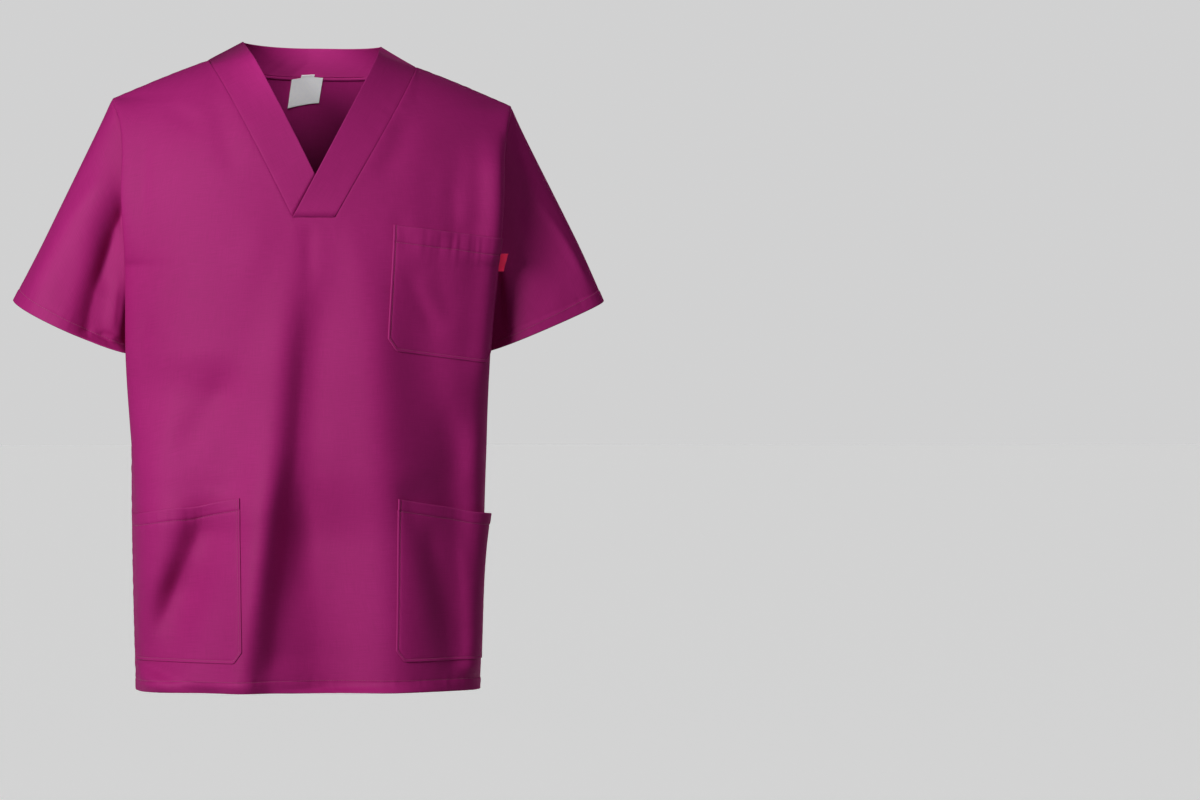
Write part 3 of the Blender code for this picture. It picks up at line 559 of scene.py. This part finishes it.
frontColumns, backColumns = grids["front"]["columns"], grids["back"]["columns"]
frontTop, backTop = grids["front"]["base"][-1], grids["back"]["base"][-1]
rightFoot = frontTop[(frontColumns >= -neckStep - 1e-9) & (frontColumns <= vRightStep + 1e-9)]
leftFoot = frontTop[(frontColumns >= vLeftStep - 1e-9) & (frontColumns <= neckStep + 1e-9)][::-1]
grids["rightBand"] = frontBand(rightFoot, -1.0, neck["vPoint"], 21, 0.0)
grids["leftBand"] = frontBand(leftFoot, 1.0, (neck["vEndRight"], neck["vEndZ"]), 23, neck["lap"])
grids["napeBand"] = napeBand(backTop[np.abs(backColumns) <= neckStep + 1e-9])
print("neckbands:", [grids[name]["points"].shape for name in ("rightBand", "leftBand", "napeBand")])


pockets = {
    "columns": ("inner", "outer", "bottom", "mouth", "gape", "widest", "bothCut", "hem", "puckers", "seed"),
    "chestPocket": (0.255, 0.844, -0.333, -0.190, 0.0030, 0.50, True, 0.0200, 0.00050, 31),
    "leftPocket": (0.304, 0.940, -0.686, -0.498, 0.0075, 0.85, False, 0.0135, 0.00030, 33),
    "rightPocket": (-0.278, -0.940, -0.686, -0.498, 0.0060, 0.55, False, 0.0135, 0.00045, 37),
    "levelsAtX": 0.0850, "chamfer": (0.0110, 0.0130), "stitch": 0.0034, "lie": 0.0011,
    "falls": ((-0.722, 0.00), (-0.686, 0.00), (-0.498, 0.15), (-0.333, 0.11), (-0.190, 0.11)),
    "belly": 0.0015, "lip": 0.0004, "groove": 0.00042, "hemStands": 0.00055, "hemPulled": 0.00065,
    "ripple": 0.00018,
}
pocketNames = ("chestPocket", "leftPocket", "rightPocket")
pocketFine = tenths(0, 4, 9, 16, 24, 30, 34, 38, 44, 55, 75, 100)
mouthFine = {  # close rows where the mouth is turned down and stitched
    0.0200: tenths(0, 4, 10, 20, 40, 70, 100, 130, 160, 185, 194, 200, 206, 215, 235, 265),
    0.0135: tenths(0, 4, 10, 20, 40, 70, 95, 115, 127, 135, 143, 155, 175, 205),
}


# A pocket lies on its panel's own points, moved out along the normals. Sewn edges are turned in and
# stitched: a lip, a groove at the stitching, then the cloth stands free, most towards the mouth.
def pocketGrid(name):
    row = dict(zip(pockets["columns"], pockets[name]))
    hem, widest = row["hem"], row["widest"]
    steps = np.linspace(row["inner"], row["outer"], 401)
    level = np.full_like(steps, (row["bottom"] + row["mouth"]) / 2)
    lengths = runningLength(panelPoints(steps, level, "front", False), 0)
    fromInner = stations(lengths[-1], 0.0028, pocketFine, pocketFine)
    fromOuter = lengths[-1] - fromInner
    step = np.interp(fromInner, lengths, steps)
    aside = np.clip(body["tipX"] * np.sin(np.pi / 2 * np.abs(step)) - pockets["levelsAtX"], 0.0, None)
    falls = np.array(pockets["falls"]).T
    bottom, mouth = [row[key] - np.interp(row[key], *falls) * aside for key in ("bottom", "mouth")]
    corner, height = pockets["chamfer"]
    cut = np.minimum(fromInner, fromOuter) if row["bothCut"] else fromInner
    bottom = bottom + height * np.clip(1.0 - cut / corner, 0.0, None)
    rise = mouth - bottom
    levels = bottom + risingRows(rise, pocketFine, mouthFine[hem], 0.0030, rise.mean() - 0.03)
    base = panelPoints(step[None, :] + 0.0 * levels, levels, "front")
    normals = gridNormals(base, (0.0, -1.0, 0.0))
    up = runningLength(base, 0)
    fromMouth = up[-1:] - up
    fromSides = np.minimum(fromInner, fromOuter)[None, :] + 0.0 * up
    fromSewn = np.minimum(fromSides, up / np.hypot(1.0, np.where(cut < corner, height / corner, 0.0)))
    share = up / up[-1:]
    across = (fromInner / lengths[-1])[None, :]
    belly = np.where(across < widest, across / widest, (1.0 - across) / (1.0 - widest))
    full = np.sin(np.pi / 2 * clamp(belly))
    stand = (pockets["belly"] + row["gape"] * share ** 3) * full * clamp(share * 6.0)
    edge = sewing["pocketEdge"]
    lip = pockets["lip"] * (1.0 - ease((fromSewn - 0.0026) / 0.0012)) - roundedOff(fromSewn, edge)
    groove = -pockets["groove"] * bell(fromSewn, pockets["stitch"], 0.0010)
    turned = (pockets["hemStands"] * (1.0 - ease((fromMouth - hem + 0.0008) / 0.0016))
              - pockets["hemPulled"] * bell(fromMouth, hem, 0.0011) - roundedOff(fromMouth, edge))
    alongMouth = fromInner[None, :] + 0.0 * up
    bunched = bell(across, widest, 0.33) * (1.0 - bell(across, 0.0, 0.12))
    bunched = bunched * bell(fromMouth, hem * 0.75, hem * 0.75)
    puckers = 1.4 * row["puckers"] * uneven(alongMouth, 0.0115, row["seed"]) * bunched
    ripple = uneven(up + 3.0 * alongMouth, 0.016, row["seed"] + 1) * bell(fromSewn, 0.006, 0.006)
    lift = pockets["lie"] + stand + lip + groove + turned + puckers + pockets["ripple"] * ripple
    wear = clamp(1.0 - np.minimum(fromSewn, fromMouth) / 0.0018)
    return {"hemRow": len(levels) - 1 - mouthFine[hem].index(hem),
            **raised(base, normals, lift, alongMouth * np.sign(row["outer"]), up, wear)}


for name in pocketNames:
    grids[name] = pocketGrid(name)
print("pockets:", [grids[name]["points"].shape for name in pocketNames])


label = {"width": 0.037, "height": 0.030, "loop": (0.016, 0.004), "hang": 0.0062, "slant": 0.13,
         "curl": 0.0030, "clear": 0.0040}


# The label hangs inside the nape from a short folded loop, tilted a little, clear of the back, with its
# lower corners curled forward.
def labelGrid():
    loopWidth, loopHeight = label["loop"]
    onLabel = loopHeight + 0.0005 + np.linspace(0.0, label["height"], 34)
    down = np.concatenate((np.linspace(0.0, loopHeight, 6), onLabel))
    half = np.where(down <= loopHeight, loopWidth / 2, label["width"] / 2)
    across = np.linspace(-1.0, 1.0, 40)
    x, z = across[None, :] * half[:, None], -down[:, None] + 0.0 * across[None, :]
    turnedX = x + label["slant"] * z
    turnedZ = z + x * (0.05 + label["slant"] * (down / down[-1])[:, None])
    level = -neck["napeDrop"] + label["hang"] + turnedZ
    points = np.stack((turnedX, bodyDepth(turnedX, level, "back"), level), axis=-1)
    normals = gridNormals(points, (0.0, 1.0, 0.0))
    low = ease((down / down[-1] - 0.25) / 0.75)[:, None]
    gap = label["clear"] + label["curl"] * low * (0.35 + 0.65 * np.abs(across)[None, :] ** 2.2)
    gap = gap + 0.0007 * ease(1.0 - down / loopHeight)[:, None]
    onLoop = np.repeat((down <= loopHeight)[:, None], len(across), axis=1).astype(float)
    return raised(points, -normals, gap, x, z, onLoop)


tab = {"levels": (-0.243, -0.223), "reach": 0.0085, "thick": 0.0016, "sunk": 0.0008, "lean": 0.12}


# The tab is a ribbon folded double: out from the pocket's edge, round a small half circle and back.
def tabGrid():
    edge = grids["chestPocket"]["points"][:, -1]
    levels = np.linspace(*tab["levels"], 22)
    foot = pointsAt(levels, edge[:, 2], edge)
    outward = unit(np.array((1.0, 0.25, 0.0)))
    thick = np.array((outward[1], -outward[0], 0.0))
    half = tab["thick"] / 2
    straight = np.linspace(-tab["sunk"], tab["reach"] - half, 8)
    turn = np.linspace(-np.pi / 2, np.pi / 2, 9)[1:-1]
    out = np.concatenate((straight, tab["reach"] - half + half * np.cos(turn), straight[::-1]))
    off = np.concatenate((np.full(8, half), -half * np.sin(turn), np.full(8, -half)))
    points = foot[None] + out[:, None, None] * outward + off[:, None, None] * thick
    lean = tab["lean"] * (levels - levels.mean())
    points = points + (out / tab["reach"])[:, None, None] * lean[None, :, None] * outward
    run, levels = np.broadcast_arrays(runningLength(np.stack((out, off), axis=-1), 0)[:, None], levels)
    normals = gridNormals(points, points - points.mean(axis=0, keepdims=True))
    return raised(points, normals, 0.0 * run, run, levels, 0.0 * run)


grids["label"] = labelGrid()
grids["tab"] = tabGrid()


# An output of a node. Sums and products of it add Math nodes.
class Value:
    def __init__(self, finish, output):
        self.finish, self.output = finish, output

    def calc(self, operation, *values):
        return self.finish.node("Math", {"operation": operation}, dict(enumerate(values)))

    def __add__(self, other):
        return self.calc("ADD", self, other)

    def __sub__(self, other):
        return self.calc("SUBTRACT", self, other)

    def __rsub__(self, other):
        return self.calc("SUBTRACT", other, self)

    def __mul__(self, other):
        return self.calc("MULTIPLY", self, other)

    def sine(self):
        return self.calc("SINE", self)

    def size(self):
        return self.calc("ABSOLUTE", self)

    __radd__, __rmul__ = __add__, __mul__


# A material, or a world. One method adds any node: its settings come first, then its sockets' values,
# links or colours as hex strings.
class Finish:
    def __init__(self, name, kind=bpy.data.materials, shader="Principled BSDF", **constants):
        self.made = kind.new(name)
        self.made.use_nodes = True
        self.nodes, self.links = self.made.node_tree.nodes, self.made.node_tree.links
        self.shader = self.nodes[shader]
        self.finish(**constants)

    def node(self, kind, settings=None, sockets=None, output=0):
        made = self.nodes.new("ShaderNode" + kind)
        for setting, value in (settings or {}).items():
            if setting == "stops":
                ramp = made.color_ramp.elements
                while len(ramp) < len(value):
                    ramp.new(0.5)
                for stop, (position, colour) in zip(ramp, value):
                    stop.position, stop.color = position, colour
            else:
                setattr(made, setting, value)
        self.link(made, sockets or {})
        return Value(self, made.outputs[output])

    def link(self, node, sockets):
        for socket, value in sockets.items():
            if isinstance(value, Value):
                self.links.new(value.output, node.inputs[socket])
            else:
                node.inputs[socket].default_value = hexColour(value) if isinstance(value, str) else value

    # The cloth's own place in metres, across it and along it.
    def cloth(self):
        place = self.node("UVMap", {"uv_map": "cloth"})
        return [place] + [self.node("SeparateXYZ", None, {0: place}, output) for output in (0, 1)]

    def noise(self, place, scale, detail, roughness=0.5, dimensions="3D"):
        return self.node("TexNoise", {"noise_dimensions": dimensions},
                         {"Vector": place, "Scale": scale, "Detail": detail, "Roughness": roughness})

    def bump(self, strength, distance, height):
        return self.node("Bump", None, {"Strength": strength, "Distance": distance, "Height": height})

    # One colour blended over another by a mask from 0 to 1.
    def mix(self, mask, first, second):
        return self.node("Mix", {"data_type": "RGBA"}, {0: mask, 6: first, 7: second}, 2)

    def finish(self, **sockets):
        self.link(self.shader, {name.replace("_", " "): value for name, value in sockets.items()})
        return self.made


# Linear colour from a hex string.
def hexColour(text):
    values = np.array([int(text[k:k + 2], 16) / 255 for k in (0, 2, 4)])
    linear = np.where(values <= 0.04045, values / 12.92, ((values + 0.055) / 1.055) ** 2.4)
    return (*[float(value) for value in linear], 1.0)


poplin = {"colour": "ad1d75", "deep": "a0186b", "pale": "b8247f", "worn": "c2408c", "sheen": "e06aa8",
          "thread": 0.00042, "slub": 0.10, "slubs": ((1500.0, 45.0, 1.0), (40.0, 1300.0, 1.0)),
          "dye": 7.0, "weave": 0.22, "weaveDepth": 0.00022}


# Plain-weave poplin: the product of two sines for the crossing threads, long thin noise for uneven
# threads both ways, broad noise for the dye, and paler folded edges.
def poplinFinish():
    made = Finish("raspberryPoplin", Sheen_Weight=0.03, Sheen_Roughness=0.45,
                  Sheen_Tint=poplin["sheen"], Specular_IOR_Level=0.28)
    place, warp, weft = made.cloth()
    rate = np.pi / poplin["thread"]
    weave = ((warp * rate).sine() * (weft * rate).sine()).size()
    ways = [made.node("Mapping", None, {"Vector": place, "Scale": scale}) for scale in poplin["slubs"]]
    slubs = [made.noise(way, 1.0, 1.0, dimensions="2D") for way in ways]
    threads = (slubs[0] + slubs[1]) * 0.5
    broad = made.noise(made.node("TexCoord", None, None, 3), poplin["dye"], 2.0, 0.45)
    tone = (broad - 0.5) * 0.5 + (threads - 0.5) * (8.0 * poplin["slub"]) + (weave - 0.5) * 0.10 + 0.5
    stops = [(at, hexColour(poplin[name])) for at, name in ((0.15, "deep"), (0.5, "colour"), (0.85, "pale"))]
    colour = made.node("ValToRGB", {"stops": stops}, {0: tone})
    worn = made.node("Attribute", {"attribute_name": "wear"}, None, 2)
    colour = made.mix(worn * (threads * 0.5 + 0.1), colour, poplin["worn"])
    bump = made.bump(poplin["weave"], poplin["weaveDepth"], weave * 0.6 + threads * 1.4)
    return made.finish(Base_Color=colour, Roughness=0.64 + 0.10 * threads, Normal=bump)


# Sewing thread of the same dye, a little glossier, with its twist as noise.
def threadFinish():
    made = Finish("raspberryThread", Sheen_Weight=0.1, Specular_IOR_Level=0.4)
    twist = made.noise(made.node("TexCoord", None, None, 3), 1400.0, 1.0)
    return made.finish(Base_Color=made.mix(twist, "9a2f68", "b94a86"), Roughness=0.55 + 0.1 * twist,
                       Normal=made.bump(0.4, 0.00015, twist))


# Woven ribbon: fine ribs as the product of two sines and soft mottling from noise. Its faint glow in its own
# colour is painted light that brightens it in shade.
def ribbonFinish(name, colour, deep, ribs, roughness, glow):
    made = Finish(name, Sheen_Weight=0.15, Specular_IOR_Level=0.35, Emission_Color=colour,
                  Emission_Strength=glow)
    place, across, along = made.cloth()
    rib = (along * (np.pi / ribs)).sine().size() * ((across * (np.pi / ribs / 1.6)).sine().size() * 0.5 + 0.5)
    mottle = made.noise(place, 260.0, 2.0)
    bump = made.bump(0.3, 0.00018, rib + mottle * 0.4)
    return made.finish(Base_Color=made.mix(rib * 0.35 + mottle * 0.65, deep, colour),
                       Roughness=roughness + 0.08 * mottle, Normal=bump)


finishes = {
    "poplin": poplinFinish(), "thread": threadFinish(),
    # The label inside the nape and the tab beside the pocket glow a little: painted light where they sit in
    # shade.
    "label": ribbonFinish("whiteWovenRibbon", "f4f5f6", "dfe2e6", 0.00045, 0.62, 0.16),
    "tab": ribbonFinish("redWovenRibbon", "c41846", "a81034", 0.00050, 0.60, 0.35),
}
print("finishes:", ", ".join(finishes))


# An object in the scene. One with a place stands there and looks at its target.
def addObject(name, data, place=None, target=(0.0, 0.0, 0.0)):
    made = bpy.data.objects.new(name, data)
    if place is not None:
        made.location = place
        made.rotation_euler = (Vector(place) - Vector(target)).to_track_quat("Z", "Y").to_euler()
    scene.collection.objects.link(made)
    return made


# A piece of the top, on its one body.
def addPiece(mesh, finish):
    mesh.shade_smooth()
    mesh.materials.append(finishes[finish])
    piece = addObject(mesh.name, mesh)
    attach(piece, "root")
    return piece


# The four corners of each cell of a grid of numbers.
def cells(index):
    return np.stack((index[:-1, :-1], index[:-1, 1:], index[1:, 1:], index[1:, :-1]), axis=-1).reshape(-1, 4)


pieceTable = {  # grid: piece, node it stands for, flat width and length of the cut, what it rests on
    "front": ("frontCloth", "front_panel", 0.560, 0.745, "backCloth"),
    "back": ("backCloth", "back_panel", 0.560, 0.750, "frontCloth"),
    "rightSleeve": ("rightSleeveCloth", "sleeve_right", 0.450, 0.300, "frontCloth"),
    "leftSleeve": ("leftSleeveCloth", "sleeve_left", 0.450, 0.300, "frontCloth"),
    "rightBand": ("rightNeckband", "neckband_right", 0.260, 0.042, "frontCloth"),
    "leftBand": ("leftNeckband", "neckband_left", 0.260, 0.042, "frontCloth"),
    "napeBand": ("napeNeckband", "neckband_back", 0.300, 0.042, "frontCloth"),
    "chestPocket": ("chestPocketCloth", "pocket_chest", 0.150, 0.150, "frontCloth"),
    "leftPocket": ("leftPocketCloth", "pocket_lower_left", 0.150, 0.195, "frontCloth"),
    "rightPocket": ("rightPocketCloth", "pocket_lower_right", 0.165, 0.195, "frontCloth"),
    "label": ("napeLabel", "neck_label", 0.038, 0.036, "napeNeckband"),
    "tab": ("pocketTab", "pocket_tab", 0.020, 0.021, "chestPocketCloth"),
}
walls = {"label": 0.0005, "tab": 0.0004, "rightBand": 0.0014, "leftBand": 0.0014, "napeBand": 0.0014}


# A thin wall from a grid of points: one quad between each four neighbours, wound so that it faces along
# the given normals, with the cloth's own length and width as its UV map.
def clothPiece(name, node):
    grid, ring = grids[name], name.endswith("Sleeve")
    points, normals = grid["points"], grid["normals"]
    rows, columns = points.shape[:2]
    index = np.arange(rows * columns).reshape(rows, columns)
    uvIndex = np.arange(rows * (columns + ring)).reshape(rows, columns + ring)
    quads, uvQuads = cells(closedRound(index) if ring else index), cells(uvIndex)
    middle = rows // 2
    first, second = points[middle, 1] - points[middle, 0], points[middle + 1, 0] - points[middle, 0]
    if np.dot(np.cross(first, second), normals[middle, 0]) < 0:
        quads, uvQuads = quads[:, ::-1], uvQuads[:, ::-1]
    mesh = bpy.data.meshes.new(pieceTable[name][0])
    mesh.vertices.add(rows * columns)
    mesh.vertices.foreach_set("co", settle(points).astype(np.float32).ravel())
    mesh.loops.add(quads.size)
    mesh.loops.foreach_set("vertex_index", quads.astype(np.int32).ravel())
    mesh.polygons.add(len(quads))
    mesh.polygons.foreach_set("loop_start", np.arange(0, quads.size, 4, dtype=np.int32))
    mesh.update(calc_edges=True)
    mesh.validate()
    uv = mesh.uv_layers.new(name="cloth")
    uv.data.foreach_set("uv", grid["uv"].reshape(-1, 2)[uvQuads.ravel()].astype(np.float32).ravel())
    wear = mesh.attributes.new("wear", "FLOAT", "POINT")
    wear.data.foreach_set("value", clamp(grid["wear"]).astype(np.float32).ravel())
    piece = addPiece(mesh, name if name in finishes else "poplin")
    wall = piece.modifiers.new("wall", "SOLIDIFY")
    wall.thickness, wall.offset, wall.use_rim = walls.get(name, cloth["thickness"]), -1.0, True
    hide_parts(node)
    return piece


stitching = {"pitch": 0.0030, "length": 0.0026, "thick": 0.00032, "stands": 0.00012, "sides": 5,
             "profile": ((0.0, 0.25), (0.14, 0.85), (0.5, 1.0), (0.86, 0.85), (1.0, 0.25))}


# Stitches along a line on the cloth: each is a short spindle in the surface from one hole to the next,
# of rings round its run that are thin and low at the holes.
def stitchRow(line, normals):
    run = runningLength(line, 0)
    starts = np.arange(0.0, run[-1] - stitching["length"], stitching["pitch"])
    profile = np.array(stitching["profile"])
    along = starts[:, None] + profile[:, 0] * stitching["length"]
    centre, up = pointsAt(along, run, line), unit(pointsAt(along, run, normals))
    forward = unit(centre[:, -1:] - centre[:, :1]) + 0.0 * centre
    aside = unit(np.cross(forward, up))
    turn = 2 * np.pi * np.arange(stitching["sides"]) / stitching["sides"]
    radius = stitching["thick"] * profile[:, 1]
    sunk = stitching["thick"] * (profile[:, 1] - 1.0) * 0.9
    ring = np.cos(turn)[:, None] * aside[..., None, :] * 1.15 + np.sin(turn)[:, None] * up[..., None, :] * 0.8
    return (centre + up * (sunk + stitching["stands"])[:, None])[:, :, None] + ring * radius[:, None, None]


# All stitch rows of one piece in one mesh, each spindle closed at both ends.
def stitchPiece(name, rows):
    spindles = settle(np.concatenate([stitchRow(*row) for row in rows]))
    count, rings, sides = spindles.shape[:3]
    base = (np.arange(count) * rings * sides)[:, None]
    at = np.arange(rings * sides).reshape(rings, sides)
    quads = (base[:, :, None] + cells(closedRound(at))).reshape(-1, 4)
    mesh = bpy.data.meshes.new(name)
    faces = quads.tolist() + (base + at[0][::-1]).tolist() + (base + at[-1]).tolist()
    mesh.from_pydata(spindles.reshape(-1, 3), [], faces)
    print(name + ":", count, "stitches")
    return addPiece(mesh, "thread")


pieces = {name: clothPiece(name, row[1]) for name, row in pieceTable.items()}
print("pieces:", ", ".join(piece.name for piece in pieces.values()))


# One line of a grid as points and normals.
def gridLine(name, *place):
    return grids[name]["points"][place], grids[name]["normals"][place]


# A pocket's stitching: along the bottom, up both sides, and along its mouth hem.
def pocketStitches(name):
    inset = pocketFine.index(pockets["stitch"])
    within, upwards = slice(inset, -inset), slice(inset, None)
    return [gridLine(name, *place) for place in ((inset, within), (upwards, inset), (upwards, -inset - 1),
                                                 (grids[name]["hemRow"], within))]


# A cuff's stitching: the row nearest to its hem's depth, closed to a loop.
def cuffStitches(name):
    row = -1 - int(np.argmin(np.abs(np.array(hemFine) - cloth["cuffHem"])))
    return tuple(closedRound(values[None])[0] for values in gridLine(name, row))


stitches = {
    "hemStitches": [gridLine(side, hemFine.index(cloth["hem"]), slice(4, -4)) for side in panels],
    "cuffStitches": [cuffStitches(name) for name in ("rightSleeve", "leftSleeve")],
    "pocketStitches": [row for name in pocketNames for row in pocketStitches(name)],
}
stitchPieces = {name: stitchPiece(name, rows) for name, rows in stitches.items()}

stage = {"floorZ": -1.35, "floorSize": 60.0, "grey": 0.80, "glow": 0.455}
half = stage["floorSize"]
corners = [(x, y, stage["floorZ"]) for x, y in ((-half, -half), (half, -half), (half, half), (-half, half))]
floorMesh = bpy.data.meshes.new("floor")
floorMesh.from_pydata(corners, [], [(0, 1, 2, 3)])
floorMesh.materials.append(Finish("paleFloor", Base_Color=(stage["grey"],) * 3 + (1.0,), Roughness=0.95,
                                  Specular_IOR_Level=0.0, Emission_Color=(1.0, 1.0, 1.0, 1.0),
                                  Emission_Strength=stage["glow"]).made)
floor = addObject("floor", floorMesh)
floor.visible_diffuse = False            # the floor is seen, and throws no light up at the cloth

middle = (0.0, 0.0, 0.0)
lights = {  # kind, strength, where it stands, what it is aimed at, and its own settings
    "fillSun": ("SUN", 0.15, (0.10, -0.95, 0.30), middle, {"angle": np.radians(50.0)}),
    "edgeSun": ("SUN", 0.28, (0.75, -0.45, 0.50), middle, {"angle": np.radians(40.0)}),
    "backSun": ("SUN", 1.50, (0.32, 0.92, 0.24), middle, {"angle": np.radians(40.0)}),
    "topSun": ("SUN", 0.10, (0.0, 0.05, 1.0), middle, {"angle": np.radians(60.0)}),
    "keyPanel": ("AREA", 44.0, (-1.52, -1.78, 0.24), (0.0, 0.0, -0.30),
                 {"shape": "DISK", "size": 1.00, "spread": np.radians(180.0)}),
    "neckSpot": ("SPOT", 50.0, (-0.20, -1.50, 0.32), (-0.008, 0.10, -0.006),
                 {"shadow_soft_size": 0.05, "spot_size": np.radians(6.0), "spot_blend": 1.0}),
}
for name, (kind, strength, place, target, settings) in lights.items():
    lamp = bpy.data.lights.new(name, kind)
    lamp.energy = strength
    for setting, value in settings.items():
        setattr(lamp, setting, value)
    addObject(name, lamp, place, target).visible_glossy = kind != "SUN" or name == "fillSun"

# A pale grey surround. Camera rays see it at full strength, and it lights the cloth with a part of it.
surround = Finish("studio", bpy.data.worlds, "Background", Color=(0.638, 0.638, 0.640, 1.0))
scene.world = surround.finish(Strength=surround.node("LightPath") * 0.95 + 0.05)
scene.view_settings.view_transform = "Standard"

view = {"azimuth": -4.0, "target": (0.0, 0.0, -0.351), "distance": 6.0, "metresAcross": 1.38,
        "shift": (0.24, -0.0283), "sensor": 36.0, "farthest": 200.0}
turn = np.radians(view["azimuth"])
camera = bpy.data.cameras.new("camera")
camera.sensor_width = view["sensor"]
camera.lens = view["sensor"] * view["distance"] / view["metresAcross"]
camera.shift_x, camera.shift_y = view["shift"]
camera.clip_end = view["farthest"]
eye = Vector(view["target"]) + Vector((np.sin(turn), -np.cos(turn), 0.0)) * view["distance"]
scene.camera = addObject("camera", camera, eye, view["target"])
